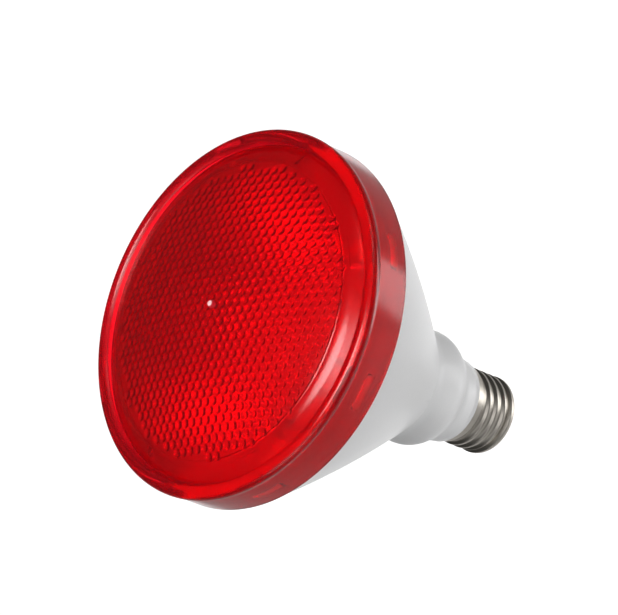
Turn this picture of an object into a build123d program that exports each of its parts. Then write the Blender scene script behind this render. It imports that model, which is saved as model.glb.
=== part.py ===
from build123d import *
import os
from math import atan2, degrees, radians, sin, sqrt

# LED reflector lamp of the PAR38 size: clear red lens, white housing, E27 screw cap.
# Millimetres. Z is the lamp's axis, lens up. z = 0 is where the collar ends and the screw shell begins.

os.makedirs("parts", exist_ok=True)

# Screw cap: thin metal sheet with a rolled thread
shell_radius = 13.2
shell_wall = 0.4
shell_length = 19.4
plain_length = 3.2
step_height = 0.6
thread_pitch = 3.63
thread_turns = 2.5
thread_depth = 1.0
thread_width = 3.0
crest_relief = 0.1
end_band = 0.6
end_round = 1.9
lip_radius = 9.6

# Tip of the cap
insulator_clearance = 0.1
insulator_flange_inset = 1.5
insulator_flange_height = 1.0
insulator_height = 4.2
insulator_tip_radius = 5.0
contact_radius = 4.7
contact_rim = 0.8
contact_crown = 0.8
stem_radius = 1.5
stem_length = 4.0
stem_clearance = 0.05

# Housing: collar, neck, bowed cone and rim in one moulding
collar_length = 8.2
collar_end_radius = 14.15
collar_top_radius = 15.5
neck_length = 16.7
neck_radius = 19.4
neck_round_height = 7.8
crease_radius = 19.0
cone_height = 61.1
cone_bow = 1.2
housing_wall = 2.0
rim_height = 9.0
rim_wall = 1.8
rim_clearance = 0.2
seat_inset = 0.5
spigot_length = 12.0
spigot_land_length = 2.6
spigot_clearance = 0.2
spigot_bore = 9.5

# Lens: dome, shoulder, groove, bead and skirt in one moulding
skirt_radius = 60.3
lens_wall = 2.0
bead_height = 13.3
bead_radius = 2.4
bead_proud = 0.5
bead_taper = 1.4
bead_land = 0.3
groove_width = 0.7
shoulder_rise = 3.3
shoulder_bow = 0.45
field_radius = 48.8
field_step = 0.6
dome_rise = 7.0
nub_radius = 1.5
nub_tip_radius = 0.8
nub_height = 1.4

# Snap hooks on the lens, in windows through the housing's rim
hook_count = 8
hook_width = 11.5
hook_depth = 1.4
hook_height = 3.0
hook_land = 1.0
hook_root = 0.8
window_foot = 3.0
window_clearance = 0.3

# Pockets that the mould's cores leave under the shoulder, one above each hook
pocket_depth = 0.7
pocket_margin = 1.2

# Heat-sink cup and light board
cup_wall = 1.2
cup_clearance = 0.15
cup_top_gap = 3.0
pad_thickness = 0.5
board_thickness = 1.6
board_margin = 2.0
chip_length = 3.5
chip_width = 2.8
chip_height = 0.7
chip_pocket = 0.2
chip_border = 0.4
ring_clearance = 0.45
ring_pitch = 9.0
inner_ring_count = 6
outer_ring_count = 12

# Screws that hold board and cup to the housing's bosses
screw_count = 3
screw_start_angle = 30.0
screw_inset = 4.2
screw_radius = 1.4
screw_length = 10.0
screw_head_radius = 2.7
screw_head_height = 2.0
screw_slot_width = 0.8
screw_slot_depth = 0.9
screw_pilot_clearance = 0.05
screw_hole_clearance = 0.3
boss_radius = 3.2

# Driver board, upright in the neck, and its guide ribs
driver_y = -3.0
driver_width = 31.0
driver_height = 36.0
driver_headroom = 2.6
driver_corner = 4.0
driver_thickness = 1.6
rib_grip = 2.0
rib_thickness = 1.2
rib_height = 15.0
rib_clearance = 0.15

# Parts on the driver board: heights are above the board's lower edge
part_gap = 0.05
transformer_height_above = 20.5
transformer_width = 14.0
transformer_depth = 12.0
transformer_height = 13.0
transformer_limb = 3.0
transformer_base = 2.0
winding_inset = 0.8
input_capacitor_x = -7.0
input_capacitor_above = 2.4
input_capacitor_radius = 4.0
input_capacitor_length = 11.0
output_capacitor_x = -3.5
output_capacitor_above = 31.5
output_capacitor_radius = 4.0
output_capacitor_length = 12.0
capacitor_round = 0.5
choke_x = 6.5
choke_above = 6.5
choke_radius = 3.5
choke_waist_radius = 2.6
choke_length = 8.0
choke_flange = 1.2
bridge_x = -6.0
bridge_above = 10.0
bridge_width = 4.8
bridge_depth = 2.4
bridge_height = 3.9
chip_x = 3.5
chip_above = 18.0
driver_chip_width = 4.9
driver_chip_depth = 1.5
driver_chip_height = 3.9
pin_reach = 0.9
pin_thickness = 0.3
pin_width = 0.6
pin_spacing = 1.27
resistor_x = -1.0
resistor_above = 4.5
resistor_radius = 1.4
resistor_waist = 0.2
resistor_length = 8.0

# Leads
lead_radius = 0.7
lead_bend = 2.4
output_lead_x = 8.0
lead_overlap = 6.0
lead_hole_margin = 0.6
live_lead_above = 5.0
live_lead_jog = 8.0
neutral_lead_x = 6.0
neutral_lead_above = 5.0
neutral_lead_reach = 0.4

# Poke-in terminal on the light board
terminal_x = -2.0
terminal_length = 6.0
terminal_wall = 1.0
terminal_height = 3.2
terminal_entry = 2.5
terminal_clearance = 0.1

# Heights along the axis
crease_z = collar_length + neck_length
seat_z = crease_z + cone_height
rim_top_z = seat_z + rim_height
neck_round_z = collar_length + neck_round_height
neck_floor_z = collar_length + housing_wall
bead_z = seat_z + bead_height
ring_z = bead_z + shoulder_rise
field_z = ring_z + field_step
apex_z = field_z + dome_rise
shelf_z = bead_z - lens_wall
driver_top_z = neck_floor_z + driver_height
boss_top_z = driver_top_z + driver_headroom
cup_floor_z = boss_top_z + cup_wall
pad_top_z = cup_floor_z + pad_thickness
board_top_z = pad_top_z + board_thickness
lip_z = -shell_length
band_low_z = lip_z + end_round
band_high_z = band_low_z + end_band
root_low_z = band_high_z + step_height
root_high_z = -plain_length - step_height

# Radii that pieces share
skirt_bore = skirt_radius - lens_wall
seat_radius = skirt_radius - seat_inset
rim_radius = skirt_bore - rim_clearance
rim_bore = rim_radius - rim_wall
neck_bore = neck_radius - housing_wall
bead_circle = skirt_radius + bead_proud - bead_radius
bead_inner = bead_circle - bead_land
groove_radius = bead_inner - bead_radius - groove_width
crest_radius = shell_radius - crest_relief
root_radius = crest_radius - thread_depth
neck_round_radius = ((neck_radius - collar_top_radius) ** 2 + neck_round_height ** 2) / (
    2 * (neck_radius - collar_top_radius)
)

# The cone's bowed wall is an arc from the seat to the crease
seat_point = Vector(seat_radius, seat_z)
crease_point = Vector(crease_radius, crease_z)
cone_chord = seat_point - crease_point
cone_curve = (cone_chord.length ** 2 / 4 + cone_bow ** 2) / (2 * cone_bow)
cone_outward = Vector(cone_chord.Y, -cone_chord.X).normalized()
cone_centre = (seat_point + crease_point) * 0.5 - cone_outward * (cone_curve - cone_bow)


def cone_radius(height, depth):
    """Radius of the cone at a height, at a depth inside its outer face."""
    return cone_centre.X + sqrt((cone_curve - depth) ** 2 - (height - cone_centre.Y) ** 2)


def cone_level(radius, depth):
    """Height where the cone, at a depth inside its outer face, has a radius."""
    return cone_centre.Y - sqrt((cone_curve - depth) ** 2 - (radius - cone_centre.X) ** 2)


def cone_arc(high, low, depth):
    """The cone's arc from one height down to another, in the current line."""
    middle = (high + low) / 2
    ThreePointArc(
        (cone_radius(high, depth), high),
        (cone_radius(middle, depth), middle),
        (cone_radius(low, depth), low),
    )


def dome_drop(radius, rise):
    """How far a dome with that rise over the field lies below its top at a radius."""
    curve = (field_radius ** 2 + rise ** 2) / (2 * rise)
    return curve - sqrt(curve ** 2 - radius ** 2)


board_radius = cone_radius(cup_floor_z, housing_wall + cup_clearance + cup_wall) - board_margin
screw_circle = board_radius - screw_inset
screw_hole_radius = screw_radius + screw_hole_clearance
outer_ring_radius = screw_circle - screw_head_radius - chip_length / 2 - ring_clearance
inner_ring_radius = outer_ring_radius - ring_pitch
# The lead hole lies midway between two chips of the inner ring
inner_ring_start = degrees(atan2(driver_y, output_lead_x)) + 180 / inner_ring_count
driver_front_y = driver_y + driver_thickness / 2
driver_back_y = driver_y - driver_thickness / 2
front_lead_y = driver_front_y + lead_radius + part_gap
back_lead_y = driver_back_y - lead_radius - part_gap
lead_spread = (front_lead_y - back_lead_y) / 2
lead_hole_radius = lead_spread + lead_radius + lead_hole_margin


# Lens
with BuildPart() as lens:
    with BuildSketch(Plane.XZ):
        with BuildLine():
            bead_slant = bead_radius * sin(radians(45))
            Polyline(
                (skirt_bore, seat_z),
                (skirt_radius, seat_z),
                (skirt_radius, bead_z - bead_taper),
                (bead_circle + bead_radius, bead_z),
            )
            ThreePointArc(
                (bead_circle + bead_radius, bead_z),
                (bead_circle + bead_slant, bead_z + bead_slant),
                (bead_circle, bead_z + bead_radius),
            )
            Line((bead_circle, bead_z + bead_radius), (bead_inner, bead_z + bead_radius))
            ThreePointArc(
                (bead_inner, bead_z + bead_radius),
                (bead_inner - bead_slant, bead_z + bead_slant),
                (bead_inner - bead_radius, bead_z),
            )
            Line((bead_inner - bead_radius, bead_z), (groove_radius, bead_z))
            shoulder_run = Vector(groove_radius - field_radius, -shoulder_rise)
            shoulder_middle = Vector(groove_radius, bead_z) - shoulder_run * 0.5
            shoulder_out = Vector(-shoulder_run.Y, shoulder_run.X).normalized() * shoulder_bow
            ThreePointArc(
                (groove_radius, bead_z), shoulder_middle + shoulder_out, (field_radius, ring_z)
            )
            Line((field_radius, ring_z), (field_radius, field_z))
            nub_foot_z = apex_z - dome_drop(nub_radius, dome_rise)
            ThreePointArc(
                (field_radius, field_z),
                (field_radius / 2, apex_z - dome_drop(field_radius / 2, dome_rise)),
                (nub_radius, nub_foot_z),
            )
            Polyline(
                (nub_radius, nub_foot_z),
                (nub_tip_radius, apex_z + nub_height),
                (0, apex_z + nub_height),
                (0, apex_z - lens_wall),
            )
            inner_rise = dome_rise + field_step
            ThreePointArc(
                (0, apex_z - lens_wall),
                (field_radius / 2, apex_z - lens_wall - dome_drop(field_radius / 2, inner_rise)),
                (field_radius, ring_z - lens_wall),
            )
            Polyline(
                (field_radius, ring_z - lens_wall),
                (groove_radius, shelf_z),
                (skirt_bore, shelf_z),
                (skirt_bore, seat_z),
            )
        make_face()
    revolve(axis=Axis.Z)
    # Snap hooks: a ramp below, a flat catch above
    hook_foot_z = seat_z + window_foot + window_clearance
    hook_catch_z = hook_foot_z + hook_height
    for index in range(hook_count):
        with BuildSketch(Plane.XZ.rotated((0, 0, index * 360 / hook_count))):
            with BuildLine():
                Polyline(
                    (skirt_bore + hook_root, hook_foot_z),
                    (skirt_bore, hook_foot_z),
                    (skirt_bore - hook_depth, hook_catch_z - hook_land),
                    (skirt_bore - hook_depth, hook_catch_z),
                    (skirt_bore + hook_root, hook_catch_z),
                    close=True,
                )
            make_face()
        extrude(amount=hook_width / 2, both=True)
    # Core pockets in line with the hooks, which show as paler patches on the shoulder
    pocket_radius = field_radius + pocket_margin
    pocket_z = ring_z - lens_wall - pocket_margin * shoulder_rise / (groove_radius - field_radius)
    for index in range(hook_count):
        with BuildSketch(Plane.XZ.rotated((0, 0, index * 360 / hook_count))):
            with BuildLine():
                Polyline(
                    (pocket_radius, pocket_z - pocket_depth),
                    (groove_radius, shelf_z - pocket_depth),
                    (groove_radius, shelf_z + pocket_depth),
                    (pocket_radius, pocket_z + pocket_depth),
                    close=True,
                )
            make_face()
        extrude(amount=hook_width / 2, both=True, mode=Mode.SUBTRACT)
lens.part.label = "lens"
export_step(lens.part, "parts/lens.step")


# Seal ring between the housing's rim and the lens
with BuildPart() as seal_ring:
    with BuildSketch(Plane.XY.offset(rim_top_z)):
        Circle(rim_radius)
        Circle(rim_bore, mode=Mode.SUBTRACT)
    extrude(amount=shelf_z - rim_top_z)
seal_ring.part.label = "seal_ring"
export_step(seal_ring.part, "parts/seal_ring.step")


def housing_outline():
    """Half section of the housing's outside, filled to the axis."""
    with BuildSketch(Plane.XZ) as outline:
        with BuildLine():
            Polyline(
                (0, rim_top_z), (rim_radius, rim_top_z), (rim_radius, seat_z), (seat_radius, seat_z)
            )
            cone_arc(seat_z, crease_z, 0)
            Line((crease_radius, crease_z), (neck_radius, neck_round_z))
            TangentArc((neck_radius, neck_round_z), (collar_top_radius, collar_length), tangent=(0, -1))
            land_radius = shell_radius - shell_wall - spigot_clearance
            spigot_radius = root_radius - shell_wall - spigot_clearance
            Polyline(
                (collar_top_radius, collar_length),
                (collar_end_radius, 0),
                (land_radius, 0),
                (land_radius, -spigot_land_length),
                (spigot_radius, -spigot_land_length),
                (spigot_radius, -spigot_length),
                (0, -spigot_length),
                (0, rim_top_z),
            )
        make_face()
    return outline.sketch


def housing_hollow():
    """Half section of the housing's inside, filled to the axis."""
    round_radius = neck_round_radius - housing_wall
    round_centre = neck_radius - neck_round_radius
    floor_radius = round_centre + sqrt(round_radius ** 2 - (neck_round_z - neck_floor_z) ** 2)
    cone_high_z = cone_level(rim_bore, housing_wall)
    cone_low_z = cone_level(neck_bore, housing_wall)
    with BuildSketch(Plane.XZ) as hollow:
        with BuildLine():
            Polyline((0, rim_top_z), (rim_bore, rim_top_z), (rim_bore, cone_high_z))
            cone_arc(cone_high_z, cone_low_z, housing_wall)
            Line((neck_bore, cone_low_z), (neck_bore, neck_round_z))
            TangentArc((neck_bore, neck_round_z), (floor_radius, neck_floor_z), tangent=(0, -1))
            Polyline(
                (floor_radius, neck_floor_z),
                (spigot_bore, neck_floor_z),
                (spigot_bore, -spigot_length),
                (0, -spigot_length),
                (0, rim_top_z),
            )
        make_face()
    return hollow.sketch


# Screw bosses and guide ribs, cut back to the housing's outside
with BuildPart() as inner_supports:
    boss_foot_z = cone_level(screw_circle - boss_radius, housing_wall)
    with BuildSketch(Plane.XY.offset(boss_foot_z)):
        with PolarLocations(screw_circle, screw_count, start_angle=screw_start_angle):
            Circle(boss_radius)
    extrude(amount=boss_top_z - boss_foot_z)
    rib_reach = neck_radius - driver_width / 2 + rib_grip
    rib_x = driver_width / 2 - rib_grip + rib_reach / 2
    rib_y = driver_thickness / 2 + rib_clearance + rib_thickness / 2
    with BuildSketch(Plane.XY.offset(neck_floor_z - housing_wall)):
        with Locations((0, driver_y)):
            with GridLocations(2 * rib_x, 2 * rib_y, 2, 2):
                Rectangle(rib_reach, rib_thickness)
    extrude(amount=rib_height + housing_wall)
    revolve(housing_outline(), Axis.Z, mode=Mode.INTERSECT)


# Housing
with BuildPart() as housing:
    revolve(housing_outline(), Axis.Z)
    revolve(housing_hollow(), Axis.Z, mode=Mode.SUBTRACT)
    add(inner_supports.part)
    with BuildSketch(Plane.XY.offset(boss_top_z)):
        with PolarLocations(screw_circle, screw_count, start_angle=screw_start_angle):
            Circle(screw_radius + screw_pilot_clearance)
    pilot_depth = screw_length - (board_top_z - boss_top_z) + screw_pilot_clearance
    extrude(amount=-pilot_depth, mode=Mode.SUBTRACT)
    # Windows for the lens's snap hooks
    window_height = hook_height + 2 * window_clearance
    window_width = hook_width + 2 * window_clearance
    with Locations((0, 0, seat_z + window_foot + window_height / 2)):
        with PolarLocations((rim_radius + rim_bore) / 2, hook_count):
            Box(3 * rim_wall, window_width, window_height, mode=Mode.SUBTRACT)
housing.part.label = "housing"
export_step(housing.part, "parts/housing.step")


def rolled_ridge(inset):
    """The thread's ridge as a solid, its ends cut to flat ramps that sink into the root."""
    foot_radius = root_radius - inset
    ridge_round = ((thread_width / 2) ** 2 + thread_depth ** 2) / (2 * thread_depth)
    ridge_sink = shell_wall / 2
    foot_half = sqrt(ridge_round ** 2 - (ridge_round - thread_depth - ridge_sink) ** 2)
    thread_height = thread_turns * thread_pitch
    with BuildPart() as ridge:
        with BuildLine(Plane.XY.offset((root_low_z + root_high_z - thread_height) / 2)) as path:
            Helix(thread_pitch, thread_height, foot_radius)
        with BuildSketch(Plane(path.line @ 0, x_dir=(1, 0, 0), z_dir=path.line % 0)):
            with BuildLine():
                ThreePointArc((-ridge_sink, -foot_half), (thread_depth, 0), (-ridge_sink, foot_half))
                Line((-ridge_sink, foot_half), (-ridge_sink, -foot_half))
            make_face()
        sweep(path=path.line, is_frenet=True)
        for tip in (path.line @ 0, path.line @ 1):
            outward = Vector(tip.X, tip.Y, 0).normalized()
            ramp_origin = Vector(0, 0, tip.Z) + outward * (foot_radius - ridge_sink / 2)
            with BuildSketch(Plane(ramp_origin, x_dir=(0, 0, 1), z_dir=outward)):
                Rectangle(thread_pitch, 2 * foot_radius)
            extrude(amount=2 * thread_depth, mode=Mode.SUBTRACT)
    return ridge.part


def screw_form(inset):
    """The screw shell's outline as a solid, drawn in by an inset: a turned blank with a rolled ridge."""
    blank_radius = shell_radius - inset
    blank_root = root_radius - inset
    round_radius = end_round - inset
    end_z = lip_z + inset
    with BuildPart() as form:
        with BuildSketch(Plane.XZ):
            with BuildLine():
                Polyline(
                    (0, inset),
                    (blank_radius, inset),
                    (blank_radius, -plain_length),
                    (blank_root, root_high_z),
                    (blank_root, root_low_z),
                    (blank_radius, band_high_z),
                    (blank_radius, band_low_z),
                )
                TangentArc(
                    (blank_radius, band_low_z), (blank_radius - round_radius, end_z), tangent=(0, -1)
                )
                Polyline((blank_radius - round_radius, end_z), (0, end_z), (0, inset))
            make_face()
        revolve(axis=Axis.Z)
        add(rolled_ridge(inset))
    return form.part


# Screw shell: sheet of even thickness between two screw forms
with BuildPart() as screw_shell:
    add(screw_form(0))
    add(screw_form(shell_wall), mode=Mode.SUBTRACT)
    with BuildSketch(Plane.XY.offset(lip_z)):
        Circle(lip_radius)
    extrude(amount=2 * shell_wall, mode=Mode.SUBTRACT)
screw_shell.part.label = "screw_shell"
export_step(screw_shell.part, "parts/screw_shell.step")


# Insulator: flange inside the shell, cone below it
insulator_neck = lip_radius - insulator_clearance
insulator_tip_z = lip_z - insulator_height
with BuildPart() as cap_insulator:
    with BuildSketch(Plane.XZ):
        with BuildLine():
            flange_radius = shell_radius - shell_wall - insulator_flange_inset
            flange_z = lip_z + shell_wall
            Polyline(
                (stem_radius + stem_clearance, flange_z + insulator_flange_height),
                (flange_radius, flange_z + insulator_flange_height),
                (flange_radius, flange_z),
                (insulator_neck, flange_z),
                (insulator_neck, lip_z),
                (insulator_tip_radius, insulator_tip_z),
                (stem_radius + stem_clearance, insulator_tip_z),
                close=True,
            )
        make_face()
    revolve(axis=Axis.Z)
cap_insulator.part.label = "cap_insulator"
export_step(cap_insulator.part, "parts/cap_insulator.step")


# Centre contact: crowned button with a hollow stem for the live lead
with BuildPart() as centre_contact:
    with BuildSketch(Plane.XZ):
        with BuildLine():
            stem_bore = lead_radius + stem_clearance
            stem_top_z = insulator_tip_z + stem_length
            rim_low_z = insulator_tip_z - contact_rim
            contact_round = (contact_radius ** 2 + contact_crown ** 2) / (2 * contact_crown)
            half_drop = contact_round - sqrt(contact_round ** 2 - (contact_radius / 2) ** 2)
            Polyline(
                (0, rim_low_z - contact_crown),
                (0, insulator_tip_z),
                (stem_bore, insulator_tip_z),
                (stem_bore, stem_top_z),
                (stem_radius, stem_top_z),
                (stem_radius, insulator_tip_z),
                (contact_radius, insulator_tip_z),
                (contact_radius, rim_low_z),
            )
            ThreePointArc(
                (contact_radius, rim_low_z),
                (contact_radius / 2, rim_low_z - contact_crown + half_drop),
                (0, rim_low_z - contact_crown),
            )
        make_face()
    revolve(axis=Axis.Z)
centre_contact.part.label = "centre_contact"
export_step(centre_contact.part, "parts/centre_contact.step")


def board_holes(height):
    """Screw holes and the lead hole, as a sketch at a height."""
    with BuildSketch(Plane.XY.offset(height)) as holes:
        with PolarLocations(screw_circle, screw_count, start_angle=screw_start_angle):
            Circle(screw_hole_radius)
        with Locations((output_lead_x, driver_y)):
            Circle(lead_hole_radius)
    return holes.sketch


# Heat-sink cup: pressed aluminium that lines the cone
with BuildPart() as heat_sink_cup:
    cup_top_z = seat_z - cup_top_gap
    cup_outer_depth = housing_wall + cup_clearance
    cup_inner_depth = cup_outer_depth + cup_wall
    with BuildSketch(Plane.XZ):
        with BuildLine():
            cone_arc(cup_top_z, boss_top_z, cup_outer_depth)
            Polyline(
                (cone_radius(boss_top_z, cup_outer_depth), boss_top_z),
                (0, boss_top_z),
                (0, cup_floor_z),
                (cone_radius(cup_floor_z, cup_inner_depth), cup_floor_z),
            )
            cone_arc(cup_floor_z, cup_top_z, cup_inner_depth)
            Line(
                (cone_radius(cup_top_z, cup_inner_depth), cup_top_z),
                (cone_radius(cup_top_z, cup_outer_depth), cup_top_z),
            )
        make_face()
    revolve(axis=Axis.Z)
    extrude(board_holes(boss_top_z), amount=cup_wall, mode=Mode.SUBTRACT)
heat_sink_cup.part.label = "heat_sink_cup"
export_step(heat_sink_cup.part, "parts/heat_sink_cup.step")


# Thermal pad and light board
with BuildPart() as thermal_pad:
    with BuildSketch(Plane.XY.offset(cup_floor_z)):
        Circle(board_radius)
    extrude(amount=pad_thickness)
    extrude(board_holes(cup_floor_z), amount=pad_thickness, mode=Mode.SUBTRACT)
thermal_pad.part.label = "thermal_pad"
export_step(thermal_pad.part, "parts/thermal_pad.step")

with BuildPart() as led_board:
    with BuildSketch(Plane.XY.offset(pad_top_z)):
        Circle(board_radius)
    extrude(amount=board_thickness)
    extrude(board_holes(pad_top_z), amount=board_thickness, mode=Mode.SUBTRACT)
led_board.part.label = "led_board"
export_step(led_board.part, "parts/led_board.step")


# Light-emitting chips in two rings, each with a shallow phosphor pocket
with BuildPart() as led_chips:
    with BuildSketch(Plane.XY.offset(board_top_z)):
        with PolarLocations(inner_ring_radius, inner_ring_count, start_angle=inner_ring_start):
            Rectangle(chip_length, chip_width)
        with PolarLocations(outer_ring_radius, outer_ring_count):
            Rectangle(chip_length, chip_width)
    extrude(amount=chip_height)
    with BuildSketch(Plane.XY.offset(board_top_z + chip_height)):
        with PolarLocations(inner_ring_radius, inner_ring_count, start_angle=inner_ring_start):
            Rectangle(chip_length - 2 * chip_border, chip_width - 2 * chip_border)
        with PolarLocations(outer_ring_radius, outer_ring_count):
            Rectangle(chip_length - 2 * chip_border, chip_width - 2 * chip_border)
    extrude(amount=-chip_pocket, mode=Mode.SUBTRACT)
led_chips.part.label = "led_chips"
export_step(led_chips.part, "parts/led_chips.step")


# Board screws with a slotted pan head
with BuildPart() as board_screws:
    with BuildSketch(Plane.XY.offset(board_top_z)):
        with PolarLocations(screw_circle, screw_count, start_angle=screw_start_angle):
            Circle(screw_radius)
    extrude(amount=-screw_length)
    with BuildSketch(Plane.XY.offset(board_top_z)):
        with PolarLocations(screw_circle, screw_count, start_angle=screw_start_angle):
            Circle(screw_head_radius)
    extrude(amount=screw_head_height)
    with BuildSketch(Plane.XY.offset(board_top_z + screw_head_height)):
        with PolarLocations(screw_circle, screw_count, start_angle=screw_start_angle):
            Rectangle(2 * screw_head_radius, screw_slot_width)
    extrude(amount=-screw_slot_depth, mode=Mode.SUBTRACT)
board_screws.part.label = "board_screws"
export_step(board_screws.part, "parts/board_screws.step")


# Poke-in terminal for the two output leads
terminal_lead_z = board_top_z + terminal_height / 2
with BuildPart() as lead_terminal:
    terminal_width = 2 * (lead_spread + lead_radius + terminal_clearance + terminal_wall)
    with BuildSketch(Plane.XY.offset(board_top_z)):
        with Locations((terminal_x, driver_y)):
            Rectangle(terminal_length, terminal_width)
    extrude(amount=terminal_height)
    terminal_face_x = terminal_x + terminal_length / 2
    with BuildSketch(Plane.YZ.offset(terminal_face_x)):
        with Locations((driver_y, terminal_lead_z)):
            with GridLocations(2 * lead_spread, 0, 2, 1):
                Circle(lead_radius + terminal_clearance)
    extrude(amount=-terminal_entry - terminal_clearance, mode=Mode.SUBTRACT)
lead_terminal.part.label = "lead_terminal"
export_step(lead_terminal.part, "parts/lead_terminal.step")


# Driver board: lower corners cut off to clear the neck's rounding
with BuildPart() as driver_board:
    with BuildSketch(Plane.XZ.offset(-driver_front_y)):
        with BuildLine():
            half_width = driver_width / 2
            Polyline(
                (driver_corner - half_width, neck_floor_z),
                (half_width - driver_corner, neck_floor_z),
                (half_width, neck_floor_z + driver_corner),
                (half_width, driver_top_z),
                (-half_width, driver_top_z),
                (-half_width, neck_floor_z + driver_corner),
                close=True,
            )
        make_face()
    extrude(amount=driver_thickness)
driver_board.part.label = "driver_board"
export_step(driver_board.part, "parts/driver_board.step")


# Transformer: bobbin base, core frame and the winding between its limbs
transformer_z = neck_floor_z + transformer_height_above
with BuildPart() as transformer:
    with BuildSketch(Plane.XZ.offset(-driver_front_y - part_gap)):
        with Locations((0, transformer_z)):
            Rectangle(transformer_width, transformer_height)
    extrude(amount=-transformer_base)
    with BuildSketch(Plane.XZ.offset(-driver_front_y - transformer_base)):
        with Locations((0, transformer_z)):
            Rectangle(transformer_width, transformer_height - 2 * transformer_limb)
    extrude(amount=transformer_base - transformer_depth)
    with BuildSketch(Plane.XZ.offset(-driver_front_y - transformer_base)):
        with Locations((0, transformer_z)):
            Rectangle(transformer_width - 2 * transformer_limb, transformer_height)
    extrude(amount=transformer_base - transformer_depth + winding_inset)
transformer.part.label = "transformer"
export_step(transformer.part, "parts/transformer.step")


# Electrolytic capacitors, lying on the board
with BuildPart() as input_capacitor:
    with BuildSketch(Plane.XY.offset(neck_floor_z + input_capacitor_above)):
        with Locations((input_capacitor_x, driver_front_y + input_capacitor_radius + part_gap)):
            Circle(input_capacitor_radius)
    extrude(amount=input_capacitor_length)
    fillet(input_capacitor.edges().filter_by(GeomType.CIRCLE), capacitor_round)
input_capacitor.part.label = "input_capacitor"
export_step(input_capacitor.part, "parts/input_capacitor.step")

with BuildPart() as output_capacitor:
    with BuildSketch(Plane.YZ.offset(output_capacitor_x - output_capacitor_length / 2)):
        output_capacitor_y = driver_front_y + output_capacitor_radius + part_gap
        with Locations((output_capacitor_y, neck_floor_z + output_capacitor_above)):
            Circle(output_capacitor_radius)
    extrude(amount=output_capacitor_length)
    fillet(output_capacitor.edges().filter_by(GeomType.CIRCLE), capacitor_round)
output_capacitor.part.label = "output_capacitor"
export_step(output_capacitor.part, "parts/output_capacitor.step")


# Filter choke: a wound bobbin standing off the board
with BuildPart() as filter_choke:
    choke_z = neck_floor_z + choke_above
    with BuildSketch(Plane.XZ.offset(-driver_front_y - part_gap)):
        with Locations((choke_x, choke_z)):
            Circle(choke_radius)
    extrude(amount=-choke_flange)
    with BuildSketch(Plane.XZ.offset(-driver_front_y - choke_flange)):
        with Locations((choke_x, choke_z)):
            Circle(choke_waist_radius)
    extrude(amount=2 * choke_flange - choke_length)
    with BuildSketch(Plane.XZ.offset(choke_flange - driver_front_y - choke_length)):
        with Locations((choke_x, choke_z)):
            Circle(choke_radius)
    extrude(amount=-choke_flange)
filter_choke.part.label = "filter_choke"
export_step(filter_choke.part, "parts/filter_choke.step")


def flat_package(x, z, width, depth, height, pins):
    """Moulded chip on the driver board's back, with a row of pins on two sides, in the current part."""
    with BuildSketch(Plane.XZ.offset(part_gap - driver_back_y)) as body:
        with Locations((x, z)):
            Rectangle(width, height)
    extrude(body.sketch, amount=depth)
    with BuildSketch(Plane.XZ.offset(part_gap - driver_back_y)) as feet:
        with Locations((x, z)):
            with GridLocations(pin_spacing, height + pin_reach, pins, 2):
                Rectangle(pin_width, pin_reach)
    extrude(feet.sketch, amount=pin_thickness)


with BuildPart() as bridge_rectifier:
    flat_package(
        bridge_x, neck_floor_z + bridge_above, bridge_width, bridge_depth, bridge_height, pins=2
    )
bridge_rectifier.part.label = "bridge_rectifier"
export_step(bridge_rectifier.part, "parts/bridge_rectifier.step")

with BuildPart() as driver_chip:
    flat_package(
        chip_x,
        neck_floor_z + chip_above,
        driver_chip_width,
        driver_chip_depth,
        driver_chip_height,
        pins=4,
    )
driver_chip.part.label = "driver_chip"
export_step(driver_chip.part, "parts/driver_chip.step")


# Fusible resistor: waisted body lying on the back of the board
with BuildPart() as fusible_resistor:
    resistor_y = driver_back_y - resistor_radius - part_gap
    resistor_z = neck_floor_z + resistor_above
    with BuildSketch(Plane((resistor_x, resistor_y, resistor_z), x_dir=(1, 0, 0), z_dir=(0, -1, 0))):
        with BuildLine():
            half_length = resistor_length / 2
            bulb = resistor_length / 4
            waist = resistor_radius - resistor_waist
            Polyline(
                (-half_length, 0),
                (-half_length, resistor_radius),
                (-bulb, resistor_radius),
                (-bulb, waist),
                (bulb, waist),
                (bulb, resistor_radius),
                (half_length, resistor_radius),
                (half_length, 0),
                close=True,
            )
        make_face()
    revolve(axis=Axis((resistor_x, resistor_y, resistor_z), (1, 0, 0)))
fusible_resistor.part.label = "fusible_resistor"
export_step(fusible_resistor.part, "parts/fusible_resistor.step")


def lead_tube(points):
    """Insulated lead along straight runs joined by tangent arcs, in the current part."""
    with BuildLine() as route:
        FilletPolyline(*points, radius=lead_bend)
    with BuildSketch(Plane(route.line @ 0, z_dir=route.line % 0)) as section:
        Circle(lead_radius)
    sweep(section.sketch, path=route.line)


def output_lead_route(lead_y):
    """From the driver board's upper edge, up through the light board and into the terminal."""
    return [
        (output_lead_x, lead_y, driver_top_z - lead_overlap),
        (output_lead_x, lead_y, terminal_lead_z),
        (terminal_x + terminal_length / 2 - terminal_entry, lead_y, terminal_lead_z),
    ]


with BuildPart() as positive_lead:
    lead_tube(output_lead_route(front_lead_y))
positive_lead.part.label = "positive_lead"
export_step(positive_lead.part, "parts/positive_lead.step")

with BuildPart() as negative_lead:
    lead_tube(output_lead_route(back_lead_y))
negative_lead.part.label = "negative_lead"
export_step(negative_lead.part, "parts/negative_lead.step")

with BuildPart() as live_lead:
    live_end_z = insulator_tip_z + part_gap
    lead_tube(
        [
            (0, front_lead_y, neck_floor_z + live_lead_above),
            (0, front_lead_y, live_lead_jog / 2 - spigot_length),
            (0, 0, -live_lead_jog / 2 - spigot_length),
            (0, 0, live_end_z),
        ]
    )
live_lead.part.label = "live_lead"
export_step(live_lead.part, "parts/live_lead.step")

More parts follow.
